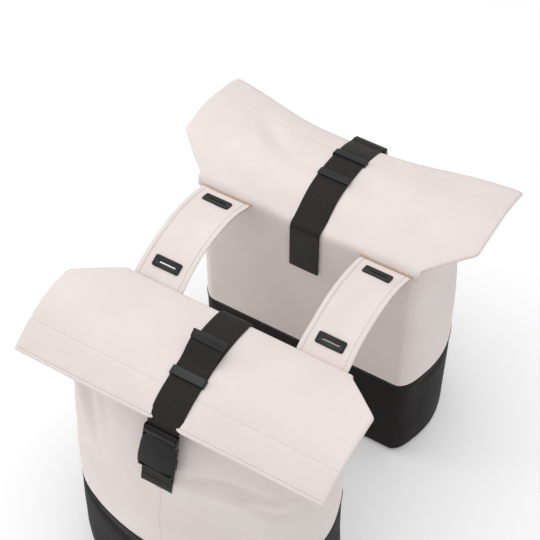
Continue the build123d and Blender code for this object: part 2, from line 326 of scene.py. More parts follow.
def new_material(name, roughness, **principled):
    material = bpy.data.materials.new(name)
    material.use_nodes = True
    tree = material.node_tree
    tree.nodes.clear()
    shader = put(tree, "BsdfPrincipled", Roughness=roughness, **principled)
    out = put(tree, "OutputMaterial")
    tree.links.new(shader.outputs[0], out.inputs[0])
    return material, tree, shader


def rib(tree, value, pitch):
    """A sine wave of value in metres, pitch in millimetres, from 0 to 1."""
    phase = put(tree, "Math", {"operation": "MULTIPLY"}, i0=value, i1=math.tau / (pitch * MM))
    wave = put(tree, "Math", {"operation": "SINE"}, i0=phase.outputs[0])
    return put(tree, "MapRange", i0=wave.outputs[0], i1=-1.0, i2=1.0, i3=0.0, i4=1.0).outputs[0]


def two_colours(tree, share, first, second):
    mix = put(tree, "Mix", {"data_type": "RGBA"}, i0=share, i6=colour(first), i7=colour(second))
    return mix.outputs[2]


def noise_at(tree, vector, size, detail=3.0, low=0.35, high=0.65):
    """Soft noise whose blotches are about size millimetres, spread over 0 to 1."""
    made = put(tree, "TexNoise", Vector=vector, Scale=1 / (size * MM), Detail=detail, Roughness=0.55)
    return put(tree, "MapRange", i0=made.outputs[0], i1=low, i2=high, i3=0.0, i4=1.0).outputs[0]


def bump_on(tree, shader, layers):
    """Each layer is (height, depth in millimetres, strength)."""
    normal = None
    for height, depth, strength in layers:
        made = put(tree, "Bump", Strength=strength, Distance=depth * MM, Height=height)
        if normal is not None:
            tree.links.new(normal, made.inputs["Normal"])
        normal = made.outputs[0]
    tree.links.new(normal, shader.inputs["Normal"])


def coated_fabric(name, main, other, thread, crinkle, roughness, sheen, gloss=0.35):
    """Polyester cloth with a matt polyurethane skin: the weave shows faintly through the skin, the colour
    drifts a little where it was handled, and small crinkles catch the light."""
    material, tree, shader = new_material(name, roughness, Sheen_Weight=sheen, Sheen_Roughness=0.5)
    shader.inputs["Specular IOR Level"].default_value = gloss
    coords = put(tree, "TexCoord")
    flat = put(tree, "SeparateXYZ", Vector=coords.outputs["UV"])
    weft = rib(tree, flat.outputs[0], thread)
    warp = rib(tree, flat.outputs[1], thread)
    weave = put(tree, "Math", {"operation": "MULTIPLY"}, i0=weft, i1=warp).outputs[0]
    place = coords.outputs["Object"]
    drift = noise_at(tree, place, 90)
    specks = noise_at(tree, place, 1.4, 2.0, 0.2, 0.8)
    base = two_colours(tree, drift, main, other)
    grey = put(tree, "CombineColor", i0=specks, i1=specks, i2=specks).outputs[0]
    worn = put(tree, "Mix", {"data_type": "RGBA", "blend_type": "MULTIPLY"}, i0=0.05, i6=base, i7=grey)
    tree.links.new(worn.outputs[2], shader.inputs["Base Color"])
    rough = put(tree, "MapRange", i0=drift, i1=0.0, i2=1.0, i3=roughness - 0.05, i4=roughness + 0.06)
    tree.links.new(rough.outputs[0], shader.inputs["Roughness"])
    soft = noise_at(tree, place, 26, 2.0, 0.2, 0.8)
    bump_on(tree, shader, [(soft, crinkle, 0.35), (specks, 0.03, 0.35), (weave, 0.05, 0.5)])
    return material


def woven_band(name, main, other, across, along, roughness):
    """Polyester webbing: ribs run its length with slanting picks between, and its nap catches a soft light."""
    material, tree, shader = new_material(name, roughness, Sheen_Weight=0.12, Sheen_Roughness=0.4)
    shader.inputs["Specular IOR Level"].default_value = 0.2
    coords = put(tree, "TexCoord")
    flat = put(tree, "SeparateXYZ", Vector=coords.outputs["UV"])
    ribs = rib(tree, flat.outputs[0], across)
    slant = put(tree, "Math", {"operation": "MULTIPLY_ADD"}, i0=flat.outputs[0], i1=0.6, i2=flat.outputs[1])
    picks = rib(tree, slant.outputs[0], along)
    weave = put(tree, "Math", {"operation": "MULTIPLY"}, i0=ribs, i1=picks).outputs[0]
    wide = rib(tree, flat.outputs[0], across * 5.2)
    lint = noise_at(tree, coords.outputs["Object"], 3.0, 4.0, 0.3, 0.7)
    tone = put(tree, "Math", {"operation": "MULTIPLY_ADD"}, i0=weave, i1=0.75, i2=0.0)
    lifted = put(tree, "Math", {"operation": "MULTIPLY_ADD"}, i0=lint, i1=0.25, i2=tone.outputs[0])
    tree.links.new(two_colours(tree, lifted.outputs[0], main, other), shader.inputs["Base Color"])
    bump_on(tree, shader, [(wide, 0.12, 0.3), (weave, 0.3, 0.8), (lint, 0.04, 0.3)])
    return material


def moulded(name, main, other, roughness, grain, gloss):
    """Moulded plastic with a fine spark-eroded grain, and faint flow marks in its sheen."""
    material, tree, shader = new_material(name, roughness, Specular_IOR_Level=gloss)
    place = put(tree, "TexCoord").outputs["Object"]
    flow = noise_at(tree, place, 14)
    grit = noise_at(tree, place, grain, 2.0, 0.2, 0.8)
    tree.links.new(two_colours(tree, flow, main, other), shader.inputs["Base Color"])
    rough = put(tree, "MapRange", i0=flow, i1=0.0, i2=1.0, i3=roughness - 0.04, i4=roughness + 0.07)
    tree.links.new(rough.outputs[0], shader.inputs["Roughness"])
    bump_on(tree, shader, [(grit, 0.02, 0.4), (flow, 0.05, 0.15)])
    return material


# Polyurethane-coated polyester, pale pink-white: matt, a little chalky, with threads 0.7 mm apart.
PALE = coated_fabric("pale_coated_polyester", "#F4EAE5", "#EFE5E0", 0.7, 0.5, 0.62, 0.1)
# The same cloth in black for the boot: a dull skin that goes grey where the light rakes it.
BLACK = coated_fabric("black_coated_polyester", "#1B1817", "#221F1E", 0.7, 0.6, 0.6, 0.02, 0.08)
# Uncoated black lining cloth: a coarser open weave, 0.9 mm.
LINING = woven_band("black_lining_weave", "#191716", "#2A2726", 0.9, 0.9, 0.8)
# Polyester webbing: ribs drawn 1.3 mm apart so that they show.
WEB = woven_band("black_polyester_webbing", "#171412", "#443E39", 1.3, 1.7, 0.62)
# Acetal, moulded and satin: dark, with a clear soft highlight along its rounded edges.
ACETAL = moulded("black_moulded_acetal", "#0F0E0E", "#161515", 0.3, 0.5, 0.25)
# Glass-filled nylon for the slotted eyelets: greyer and duller than the buckle.
NYLON = moulded("grey_moulded_nylon", "#1E2020", "#262828", 0.4, 0.6, 0.4)
# Polyethylene board inside the bags: dull, with coarse grain.
BOARD = moulded("polyethylene_board", "#383635", "#403E3C", 0.6, 1.2, 0.5)
# Tan-brown for the thin rolled seams where a bridge meets the bag: painted shade of the gap along the seam.
GAP_SHADE_TAN = coated_fabric("tan_painted_gap_shade", "#D6B092", "#CBA384", 0.7, 0.2, 0.7, 0.1)
# Sewing thread, waxed polyester, a twisted thread only 0.5 mm thick with a soft sheen: coloured darker than
# the pale cloth as painted shade round each stitch.
SHADED_PALE_THREAD = coated_fabric("pale_thread_painted_shade", "#A3968D", "#978B83", 0.4, 0.1, 0.55, 0.05)
DARK_THREAD = coated_fabric("black_sewing_thread", "#262423", "#302D2C", 0.4, 0.1, 0.5, 0.05)


# ---------------------------------------------------------------- bag body
def bag_ring(height):
    """The bag seen from above at a height: a list of (x, y), starting at the middle of the back, going
    round by +X. Its corners are eased, as cloth eases them."""
    straight = min(max((height - LEAN_Z) / (MOUTH_Z - LEAN_Z), 0), 1)
    lean = smooth(height, LEAN_Z - 60, MOUTH_Z) * 0.35 + 0.65 * straight
    rise = min(max((height - BOOT_TOP) / (LEAN_Z - BOOT_TOP), 0), 1)
    low, mid, top = FRONT_REACH
    front = low + (mid - low) * rise + (top - mid) * lean
    low, mid, top = CORNER_REACH
    corner = low + (mid - low) * rise + (top - mid) * lean
    side_y = BACK_Y + corner / 2
    corner_y = BACK_Y + corner
    fillet_end = (BACK_HALF + 3.5, BACK_Y + BACK_CORNER)
    fillet_mid = (BACK_HALF - 3.2, BACK_Y + 5.6)
    half = [((BACK_HALF - BACK_CORNER) * i / 14, BACK_Y) for i in range(14)]
    half += arc_through((BACK_HALF - BACK_CORNER, BACK_Y), fillet_mid, fillet_end, 6)
    half += arc_through(fillet_end, (SIDE_HALF, side_y), (CORNER_HALF, corner_y), 18)
    belly = (CORNER_HALF * 0.55, BACK_Y + corner + (front - corner) * 0.71)
    half += arc_through((CORNER_HALF, corner_y), belly, (0, BACK_Y + front), 22)
    half.append((0, BACK_Y + front))
    ring = half + [(-x, y) for x, y in reversed(half[1:-1])]
    for _ in range(7):
        ring = [
            tuple((a + 2 * b + c) / 4 if p[1] > BACK_Y + 1 else b for a, b, c in zip(o, p, q))
            for o, p, q in zip(ring[-1:] + ring[:-1], ring, ring[1:] + ring[:1])
        ]
    return ring


def body_fold(side, x, y, z):
    """How far the cloth of the body stands out of its plain shape, in millimetres."""
    drop = CREST_Z - z
    front = smooth(y, BACK_Y + 120, BACK_Y + 165)
    left_corner = -x if side == "right" else x
    out = 0.0
    # soft creases that fall from under the flap's corner, and slant in towards the buckle's tab
    run = (left_corner - 150) + 0.42 * (drop - 60)
    out -= 8.0 * front * math.exp(-((run / 9) ** 2)) * bell(drop, 85, 55)
    out += 5.0 * front * math.exp(-(((run - 19) / 12) ** 2)) * bell(drop, 80, 60)
    run = (left_corner - 112) + 0.3 * (drop - 80)
    out -= 4.0 * front * math.exp(-((run / 14) ** 2)) * bell(drop, 90, 50)
    # a shallow crease across the other half, where the full bag pushes under the flap
    level = drop - 112 - 0.0016 * (left_corner + 92) ** 2
    out -= 10.0 * front * bell(level, 0, 8) * bell(left_corner, -95, 50)
    out += 7.0 * front * bell(level, 17, 12) * bell(left_corner, -92, 60)
    # a short slanting one nearer the corner
    level = drop - 142 - 0.5 * (-left_corner - 150)
    out -= 6.0 * front * bell(level, 0, 9) * bell(left_corner, -150, 24)
    # the boot's cloth sinks a little below its seam
    level = BOOT_TOP - 34 - z + 7 * math.sin(x / 47) + 0.12 * left_corner
    out -= 3.2 * bell(level, 0, 11) * smooth(y, BACK_Y + 20, BACK_Y + 70)
    # a fold down the corner at the front of the bicycle
    run = (-left_corner - 172) + 0.1 * (drop - 60)
    out += 3.0 * math.exp(-((run / 14) ** 2)) * bell(drop, 110, 90) * front
    # fullness, and slow waves along the sides
    belly = smooth(z, BOOT_TOP - 20, BOOT_TOP + 90) * (1 - smooth(z, DECK_Z - 105, DECK_Z - 5))
    out += (6.0 if side == "right" else 2.5) * front * belly * bell(x, 0, 110)
    wave = noise.noise(Vector((x / 95, y / 95, z / 120 + (3 if side == "left" else 0))))
    out += 3.2 * wave * smooth(y, BACK_Y + 6, BACK_Y + 60)
    # the sides sink a little between the stiff back and the front
    out -= 2.0 * bell(y, BACK_Y + 95, 45) * bell(z, DECK_Z - 155, 90)
    return out


def fitted_ring(side, height, inset=0.0):
    """A ring of the body with its folds, as (x, y) at that height, closed on itself."""
    ring = bag_ring(height)
    made = []
    for o, p, q in zip(ring[-1:] + ring[:-1], ring, ring[1:] + ring[:1]):
        out = Vector((q[1] - o[1], o[0] - q[0])).normalized()
        shift = body_fold(side, p[0], p[1], height) - inset
        spot = Vector(p) + out * shift
        spot.y = max(spot.y, BACK_Y + inset)
        made.append(spot)
    return made + made[:1]


def lies_under(side, x, y):
    """Height of the underside of the flap over a place."""
    drop = FLAP_RADIUS - 7.5
    height = CREST_Z - FLAP_RADIUS + math.sqrt(max(drop**2 - (y - CREST_Y) ** 2, 1))
    return flap_warp(side, x, y, height)[1]


def body_shape(side, inset):
    """The body's cloth: column is a place round the ring, row a share from the boot's seam to the rim."""
    rings = {}

    def shape(column, row):
        index = int(round(column))
        top = MOUTH_Z - 30
        for _ in range(6):
            key = round(top, 1)
            if key not in rings:
                rings[key] = fitted_ring(side, key, inset)
            spot = rings[key][index]
            top = lies_under(side, spot.x, spot.y)
        height = round(BOOT_TOP - 4 + (top - BOOT_TOP + 4) * row, 1)
        if height not in rings:
            rings[height] = fitted_ring(side, height, inset)
        spot = rings[height][index]
        return turned(side, spot.x, spot.y, height)

    return shape


def ring_uv(piece, ring_length, height):
    """Turns a UV map counted in ring steps and shares into metres of cloth."""
    layer = piece.data.uv_layers[0].data
    for corner in layer:
        corner.uv = (corner.uv[0] * ring_length, corner.uv[1] * height)


def make_body(side):
    count = len(bag_ring(BOOT_TOP))
    columns = list(range(count + 1))
    rows = spread(0, 1, 1 / 62)
    name = side + "_bag_body"
    shell = cloth_piece(name, columns, rows, body_shape(side, 0.0), PALE, loop=True)
    if side == "right":
        shell.data.flip_normals()
    ring_uv(shell, RING_LENGTH, shell_high.z - BOOT_TOP)
    wall(shell, BODY_WALL, 60, fine=True)
    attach(shell, side + "_bag")
    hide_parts(side + "_body_shell")


def boot_rows():
    """(share of the way out from the middle, inset, height) from the middle of the base up to the seam."""
    edge = 17.0
    rows = [(k / 9, edge, 0.0) for k in range(1, 9)]
    for a in spread(0, math.pi / 2, math.pi / 14):
        rows.append((1.0, edge * (1 - math.sin(a)), edge * (1 - math.cos(a))))
    rows += [(1.0, 0.0, z) for z in spread(edge + 5, BOOT_TOP, 6)]
    return rows


def make_boot(side):
    table = boot_rows()
    centre = Vector((0, BACK_Y + 105))
    rings = {}

    def shape(column, row):
        share, inset, height = table[int(round(row))]
        key = (inset, height)
        if key not in rings:
            rings[key] = fitted_ring(side, height, inset)
        spot = rings[key][int(round(column))]
        # the cloth sags between the base board and the seam, and bulges above the rounded edge
        slack = bell(height, 55, 28) * (1.2 + 1.2 * math.sin(spot.x / 31 + 1.3) * math.sin(spot.y / 47))
        if spot.y > BACK_Y + 8 and share == 1.0:
            spot = spot + (spot - centre).normalized() * slack * (1 if height < BOOT_TOP - 3 else 0)
        spot = centre + (spot - centre) * share
        low = 0.6 if share < 1 else 0.0
        return turned(side, spot.x, spot.y, height + low)

    columns = list(range(len(bag_ring(BOOT_TOP)) + 1))
    rows = list(range(len(table)))
    boot = cloth_piece(side + "_bag_boot", columns, rows, shape, BLACK, loop=True)
    ring_uv(boot, RING_LENGTH, 7.0)
    rework(boot, close_base)
    if side == "right":
        boot.data.flip_normals()
    wall(boot, BOOT_WALL, 60, fine=True)
    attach(boot, side + "_bag")
    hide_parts(side + "_boot")


def close_base(bm):
    """Fills the small hole that is left in the middle of the base."""
    inner = [e for e in bm.edges if e.is_boundary and max(v.co.z for v in e.verts) < 0.02]
    bmesh.ops.contextual_create(bm, geom=inner)


def make_boot_hem(side):
    """The turned edge of the black cloth, sewn over the pale one."""
    ring = fitted_ring(side, BOOT_TOP, 0.0)
    columns = list(range(len(ring)))
    out = []
    for o, q in zip(ring[-2:-1] + ring[:-1], ring[1:] + ring[1:2]):
        out.append(Vector((q.y - o.y, o.x - q.x)).normalized())

    def hem(column, row):
        i = int(round(column))
        spot = ring[i] + out[i] * (1.3 * math.sin(row) - 0.2)
        spot.y = max(spot.y, BACK_Y)
        return turned(side, spot.x, spot.y, BOOT_TOP - 2.2 * math.cos(row))

    rows = spread(0, math.pi, math.pi / 6)
    edge = cloth_piece(side + "_boot_seam", columns, rows, hem, BLACK, loop=True)
    if side == "right":
        edge.data.flip_normals()
    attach(edge, side + "_bag")


# ---------------------------------------------------------------- flap
def flap_warp(side, x, y, z):
    """Moves a place on the flap's plain arc to where this bag's cloth lies, returning (y, z)."""
    share = min(max((y - RIDGE_Y) / (FREE_EDGE_Y - RIDGE_Y), 0.0), 1.15)
    if side == "left":
        # the strap pulls the middle of the free edge in, and its corners stand out and stay high
        pull = 28 * smooth(-x, 70, 262) + 38 * smooth(x, 5, 250)
        reach = FREE_EDGE_Y - RIDGE_Y - 3 + pull
        y = y + (reach / (FREE_EDGE_Y - RIDGE_Y) - 1) * (y - RIDGE_Y) * (share > 0)
        z += 1.0 * share * share
        z -= 12.0 * bell(x, 0, 85) * bell(y, RIDGE_Y, 32)
        z += 3.0 * smooth(-x, 150, 246) * bell(y, FLARE_Y + 70, 38)
        z -= 5.0 * bell(abs(x), 62, 30) * bell(y, 196, 24)
        z += 3.0 * bell(x, -150, 60) * bell(y, 185, 30)
        z -= 6.5 * bell(x + 0.9 * (y - 215), -120, 24) * bell(y, 215, 28)
        z += 2.2 * bell(x - 0.5 * (y - 230), 120, 30) * bell(y, 225, 35)
        z += 1.6 * share * noise.noise(Vector((x / 70, y / 60, 4.2)))
    else:
        # this one is tight at its edge, with a dip each side of the strap
        y += 1.0 * share - 6.0 * (1 - smooth(abs(x), 12, 24)) * smooth(share, 0.85, 1)
        z += 3.5 * smooth(-x, 140, 246) * bell(y, FLARE_Y + 62, 36)
        z -= 3.0 * bell(x, -58, 34) * bell(y, 200, 26)
        z -= 2.5 * bell(x, 60, 34) * bell(y, 176, 24)
        z += 2.0 * bell(x, -120, 60) * bell(y, 232, 40)
        z += 2.0 * bell(x, 120, 70) * bell(y, 205, 45)
        z -= 2.0 * bell(x, 190, 60) * bell(y, 150, 25)
        z += 1.4 * share * noise.noise(Vector((x / 80, y / 70, 1.7)))
    return y, z


def flap_line():
    """The flap's section: up the back, over the ridge and along the arc to the free edge."""
    points = [(BACK_Y + 0.7, DECK_Z - 21), (BACK_Y + 0.8, DECK_Z - 10)]
    points += [(BACK_Y + 3.4, DECK_Z - 2.4), (BACK_Y + 9, DECK_Z + 1.4)]
    centre_z = CREST_Z - FLAP_RADIUS
    first = math.asin((RIDGE_Y + 7 - CREST_Y) / FLAP_RADIUS)
    last = math.asin((FREE_EDGE_Y - CREST_Y) / FLAP_RADIUS)
    for angle in spread(first, last, 0.06):
        y = CREST_Y + FLAP_RADIUS * math.sin(angle)
        points.append((y, centre_z + FLAP_RADIUS * math.cos(angle)))
    return Line2D(points)


FLAP = flap_line()
HEM = 48.0
FOLD = 1.2  # radius of the hem's turned edge
ROLL = 2.7  # radius of the flap's folded sides
FLARE_Y = BACK_Y + 57.0


def flap_half(y):
    """Half the flap's width over a place: the back's width at the ridge, then flaring."""
    straight = BACK_HALF + (FLAP_HALF - BACK_HALF) * min(max((y - RIDGE_Y) / (FLARE_Y - RIDGE_Y), 0), 1)
    return straight + 0.8 * bell(y, FLARE_Y + 40, 45)


def flap_place(side, across, along, below=0.0):
    """A place on the flap: across in millimetres at full width, along its section, and how far below."""
    spot, out, run = FLAP.at(min(along, FLAP.length))
    turn_under = along - FLAP.length
    depth = below
    if turn_under > 0:
        angle = min(turn_under / FOLD, math.pi)
        beyond = max(turn_under - math.pi * FOLD, 0)
        spot = FLAP.at(FLAP.length - beyond)[0] if beyond else spot
        out = FLAP.at(FLAP.length - beyond)[1] if beyond else out
        spot = spot + run * FOLD * math.sin(angle) * (beyond == 0)
        depth += FOLD * (1 - math.cos(angle))
    shut = smooth(spot.x, RIDGE_Y - 1, RIDGE_Y + 16)
    roll = max(ROLL * shut - depth / 2, 0.6 * shut)
    flat = FLAP_HALF - ROLL
    x, over = across, abs(across) - flat
    if over > 0:
        angle = min(over / ROLL, math.pi)
        x = math.copysign(flat + roll * math.sin(angle), across)
        depth += roll * (1 - math.cos(angle))
    spot = spot - out * depth
    x *= flap_half(spot.x) / FLAP_HALF
    y, z = flap_warp(side, x, spot.x, spot.y)
    return x, y, z


def hem_step(along):
    """The doubled hem stands a little proud of the single cloth, and its stitches pull a groove."""
    edge = FLAP.length - HEM
    proud = 0.8 * smooth(along, edge - 1.5, edge + 1.5)
    return proud - 0.8 * bell(along, edge + 1.0, 1.8) - 0.5 * bell(along, FLAP.length - 3, 1.5)


def make_flap(side):
    flat = FLAP_HALF - ROLL
    columns = [-flat - ROLL * a for a in (3.14, 2.4, 1.6, 0.8)] + spread(-flat, flat, 7)
    columns += [flat + ROLL * a for a in (0.8, 1.6, 2.4, 3.14)]
    over = math.pi * FOLD
    rows = with_creases(spread(0, FLAP.length, 5), [FLAP.length - HEM + 1, FLAP.length - 3], 1.2)
    rows += [FLAP.length + over * k / 4 for k in (1, 2, 3, 4)]
    rows += [FLAP.length + over + k for k in (5, 12, 24, 36, HEM)]

    def upper(across, along):
        raised = -hem_step(along) if along <= FLAP.length else -0.45
        return turned(side, *flap_place(side, across, along, raised))

    top = cloth_piece(side + "_flap_sheet", columns, rows, upper, PALE)
    if side == "left":
        top.data.flip_normals()
    wall(top, FLAP_WALL, 60, fine=True)
    return top


def make_lining(side):
    """The lower layer of the flap: the bag's front cloth, folded flat under the top sheet."""
    flat = FLAP_HALF - ROLL
    columns = spread(-flat, flat, 9)
    start = next(r for r in spread(0, FLAP.length, 1) if FLAP.at(r)[0].x > RIDGE_Y + 9)
    rows = spread(start, FLAP.length - 0.5, 6)

    def lower(across, along):
        y = FLAP.at(along)[0].x
        near_edge = smooth(y, FREE_EDGE_Y - 60, FREE_EDGE_Y)
        # the right flap's two layers part at one corner of the free edge, and the left one's hardly do
        parted = 5.0 * bell(across, -185, 52) if side == "right" else bell(across, 190, 40)
        gap = near_edge * parted
        return turned(side, *flap_place(side, across, along, 2 * ROLL - 0.5 + gap))

    under = cloth_piece(side + "_flap_underside", columns, rows, lower, PALE)
    if side == "left":
        under.data.flip_normals()
    wall(under, LINING_WALL, 60)
    return under


def stitches(name, places, pitch, long, thick, material):
    """A row of thread along places (each a point and the way out of the cloth), pitch millimetres apart."""
    bm = blank()
    gone = pitch / 2
    for (a, out), (b, _) in zip(places, places[1:]):
        reach = (b - a).length / MM
        run = (b - a).normalized()
        while gone < reach:
            spot = a + run * gone * MM
            side_way = out.cross(run).normalized()
            frame_of = Matrix((run, side_way, run.cross(side_way))).transposed().to_4x4()
            size = Matrix.Diagonal((long / 2 * MM, thick / 2 * MM, thick / 2 * MM, 1))
            made = bmesh.ops.create_icosphere(bm, subdivisions=1, radius=1.0, calc_uvs=True)["verts"]
            bmesh.ops.transform(bm, matrix=Matrix.Translation(spot) @ frame_of @ size, verts=made)
            gone += pitch
        gone -= reach
    return as_piece(bm, name, material)


def seam_places(side, place, steps):
    """Points of a seam, with the way out of the cloth found from its neighbours."""
    spots = [turned(side, *place(s, 0.0)) for s in steps]
    inner = [turned(side, *place(s, 1.0)) for s in steps]
    return [(a, (a - b).normalized()) for a, b in zip(spots, inner)]


def flap_seams(side):
    flat = FLAP_HALF - ROLL - 2
    made = []
    for name, along, lift in (("hem", FLAP.length - HEM + 1, -0.6), ("edge", FLAP.length - 4, -1.15)):
        def place(across, below, along=along, lift=lift):
            return flap_place(side, across, along, lift + below)

        places = seam_places(side, place, spread(-flat, flat, 6))
        name = f"{side}_flap_{name}_stitches"
        row = stitches(name, places, 4.4, 2.9, 0.9, SHADED_PALE_THREAD)
        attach(row, side + "_flap")
        made.append(row)
    return made


# ---------------------------------------------------------------- strap
def strap_line(side, layer):
    """The middle of one layer of the strap over the flap, as y and z: layer 0 lies on the cloth."""
    points = []
    lift = 0.5 + WEBBING / 2 + layer * (WEBBING + 0.35)
    first = 30.0 if layer == 0 else 0.0
    for along in spread(first, FLAP.length - 1, 7):
        spot, out, _ = FLAP.at(along)
        y, z = flap_warp(side, 0, spot.x + out.x * lift, spot.y + out.y * lift)
        points.append((y, z + (0.7 if along > FLAP.length - HEM else 0.0)))
    return points


def buckle_yz(side, t, n):
    spot = buckle_place(side, 0, t, n) / MM
    return (abs(spot.y), spot.z)


# ---- the buckle, in its own frame: up its face from its middle, and out from its face ----
PLATE_FOOT = -34.0
PLATE_TOP = 28.4
BAR_UP = 35.0
BAR_RADIUS = 6.6
INNER_BAR_UP = 21.9
STRAP_BEHIND = -6.2
CHEEK_X = 25.6


def main_strap_points(side):
    """Over the flap, behind the buckle's top bar, round its inner bar, and back up as the tail."""
    behind = STRAP_BEHIND
    down = [p for p in strap_line(side, 0) if p[1] > DECK_Z - 21]
    down += [buckle_yz(side, t, behind) for t in (48, 38, 26)]
    turn_back = [buckle_yz(side, t, behind + n) for t, n in ((20.6, 0.2), (19.6, 1.3), (20.8, 2.3))]
    up = [buckle_yz(side, t, behind + n) for t, n in ((27, 2.4), (38, 2.2), (48, 2.2))]
    back = [p for p in reversed(strap_line(side, 1)) if p[1] > DECK_Z - 21]
    end_y = clip_low.y + 8
    if side == "left":
        end_y += 16
        back = [p for p in back if p[0] > end_y + 8]
        tail = [(end_y + 4, flap_warp(side, 0, end_y, CREST_Z)[1] + 4.4), (end_y - 4, CREST_Z + 5.5)]
    else:
        back = [p for p in back if p[0] > keeper_low.y - 6]
        y, z = back[-1]
        tail = [(y - 12, z + 4.5), (y - 23, z + 12), (end_y + 5, CREST_Z + 20.5), (end_y + 1, CREST_Z + 25)]
    return down + turn_back + up + back + tail


def band(name, side, line, half, thick, step=3.5):
    """Webbing along a line in y and z, with soft selvedges."""
    columns = [-half, -half + 0.6] + spread(-half + 2.2, half - 2.2, 5.5) + [half - 0.6, half]
    rows = spread(0.0, line.length, step)

    def place(across, along):
        spot, out, _ = line.at(min(along, line.length - 0.01))
        thin = 0.45 * smooth(abs(across), half - 2.0, half)
        crown = 0.25 * (1 - (across / half) ** 2)
        spot = spot + out * (thick / 2 + crown - thin)
        return turned(side, across, spot.x, spot.y)

    made = cloth_piece(name, columns, rows, place, WEB)
    if side == "left":
        made.data.flip_normals()
    wall(made, thick, 50, edge=(0.35, 2, 50))
    return made


def make_strap(side):
    line = Line2D(main_strap_points(side))
    strap = band(side + "_strap", side, line, STRAP_HALF, WEBBING)
    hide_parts(side + "_strap_webbing")
    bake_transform(strap)
    make_strap_root(side)
    make_tail_end(side, line)
    make_root_stitches(side)


def make_strap_root(side):
    """The strap's sewn end: up the back panel and over the ridge."""
    points = [(anchor_low.y + 0.2, anchor_low.z), (anchor_low.y + 0.2, DECK_Z - 55)]
    points.append((anchor_low.y + 0.1, DECK_Z - 17))
    points += [(BACK_Y - 0.6, DECK_Z - 8), (BACK_Y + 2.6, DECK_Z - 0.5)]
    for y, z in strap_line(side, 0):
        if BACK_Y + 8 < y < BACK_Y + 24:
            points.append((y, z))
    if side == "left":
        points[3:5] = [(BACK_Y - 0.8, DECK_Z - 16), (BACK_Y + 2.6, DECK_Z - 10.5)]
    root = band(side + "_strap_root", side, Line2D(points), STRAP_HALF - 0.3, WEBBING)
    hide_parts(side + "_strap_anchor")
    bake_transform(root)


def make_tail_end(side, line):
    """The moulded end of the tail, and the ridge where it grips the webbing."""
    bm = blank()
    spot, _, run = line.at(line.length - 5.5)
    tilt = Matrix.Rotation(math.atan2(-run.y, -run.x), 4, "X")
    soft_block(bm, Vector((0, spot.x, spot.y)) * MM, (2 * STRAP_HALF + 2.4, 12.5, 3.6), 1.1, 3, tilt)
    spot = line.at(line.length - 11.5)[0]
    soft_block(bm, Vector((0, spot.x, spot.y)) * MM, (2 * STRAP_HALF + 1.4, 2.2, 4.4), 0.9, 3, tilt)
    bm.transform(Matrix.Diagonal((1, SIDES[side], 1, 1)))
    if side == "right":
        bmesh.ops.reverse_faces(bm, faces=bm.faces[:])
    end = as_piece(bm, side + "_tail_end", NYLON, sharp=40)
    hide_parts(side + "_strap_tail_clip")
    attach(end, side + "_strap")


def make_root_stitches(side):
    """A box with a cross, sewn through the strap's end on the back panel."""
    y = BACK_Y - WEBBING - 0.35
    corners = [(-20, 6), (20, 6), (20, 36), (-20, 36)]
    for i, pair in enumerate(((0, 1), (1, 2), (2, 3), (3, 0), (0, 2), (1, 3))):
        ends = [turned(side, corners[c][0], y, anchor_low.z + corners[c][1]) for c in pair]
        places = [(p, Vector((0, -SIDES[side], 0))) for p in ends]
        name = f"{side}_root_stitches_{i + 1}"
        thread = stitches(name, places, 3.4, 2.6, 0.7, DARK_THREAD)
        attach(thread, side + "_bag")


def make_keeper(side):
    """A flat loop round the strap and its tail. Its box follows the strap's slope where it sits."""
    middle = (keeper_low.y + keeper_high.y) / 2 + (4 if side == "right" else 17)
    spot, out, run = next(FLAP.at(a) for a in spread(0, FLAP.length, 1) if FLAP.at(a)[0].x > middle)
    angle = math.atan2(run.y, run.x)
    half, low, high, r = STRAP_HALF + 1.2, -0.6, 2 * WEBBING + 2.0, 1.2
    y, z = flap_warp(side, 0, spot.x + out.x * 0.9, spot.y + out.y * 0.9)
    outline = [(half - r, low), (half, low + r), (half, high - r), (half - r, high)]
    outline += [(-x, n) for x, n in reversed(outline)]
    loop = []
    for (ax, an), (bx, bn) in zip(outline, outline[1:] + outline[:1]):
        steps = max(2, round(math.hypot(bx - ax, bn - an) / 6))
        loop += [(ax + (bx - ax) * i / steps, an + (bn - an) * i / steps) for i in range(steps)]
    loop.append(loop[0])

    def place(column, row):
        x, n = loop[int(column)]
        crown = 0.25 * math.cos(row / 7.5 * math.pi / 2)
        n += crown if n > 1 else 0
        return turned(side, x, y + row * math.cos(angle) - n * math.sin(angle),
                      z + row * math.sin(angle) + n * math.cos(angle))

    columns = list(range(len(loop)))
    rows = spread(-6.5, 6.5, 1.3)
    keeper = cloth_piece(side + "_keeper_loop", columns, rows, place, NYLON, loop=True)
    rework(keeper, lambda bm: bmesh.ops.recalc_face_normals(bm, faces=bm.faces[:]))
    wall(keeper, 1.2, 45, inward=False, edge=(0.4, 2, 30))
    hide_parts(side + "_strap_keeper")
    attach(keeper, side + "_keeper")


# ---------------------------------------------------------------- buckle
def plate_half(t):
    """Half the plate's width: cheeks that swell a third of the way up, and rounded lower corners."""
    half = 29.0 + 1.2 * bell(t, -16, 14) - 3.0 * smooth(t, 6, 30)
    round_off = max(0.0, -t - 27.0) / 7.0
    return half - 5.5 * (1 - math.sqrt(max(1 - round_off**2, 0)))


def buckle_turn(side):
    """The turn that lays a shape along the buckle's tilted face."""
    return Matrix.Rotation(SIDES[side] * BUCKLE_TILT[side], 4, "X")


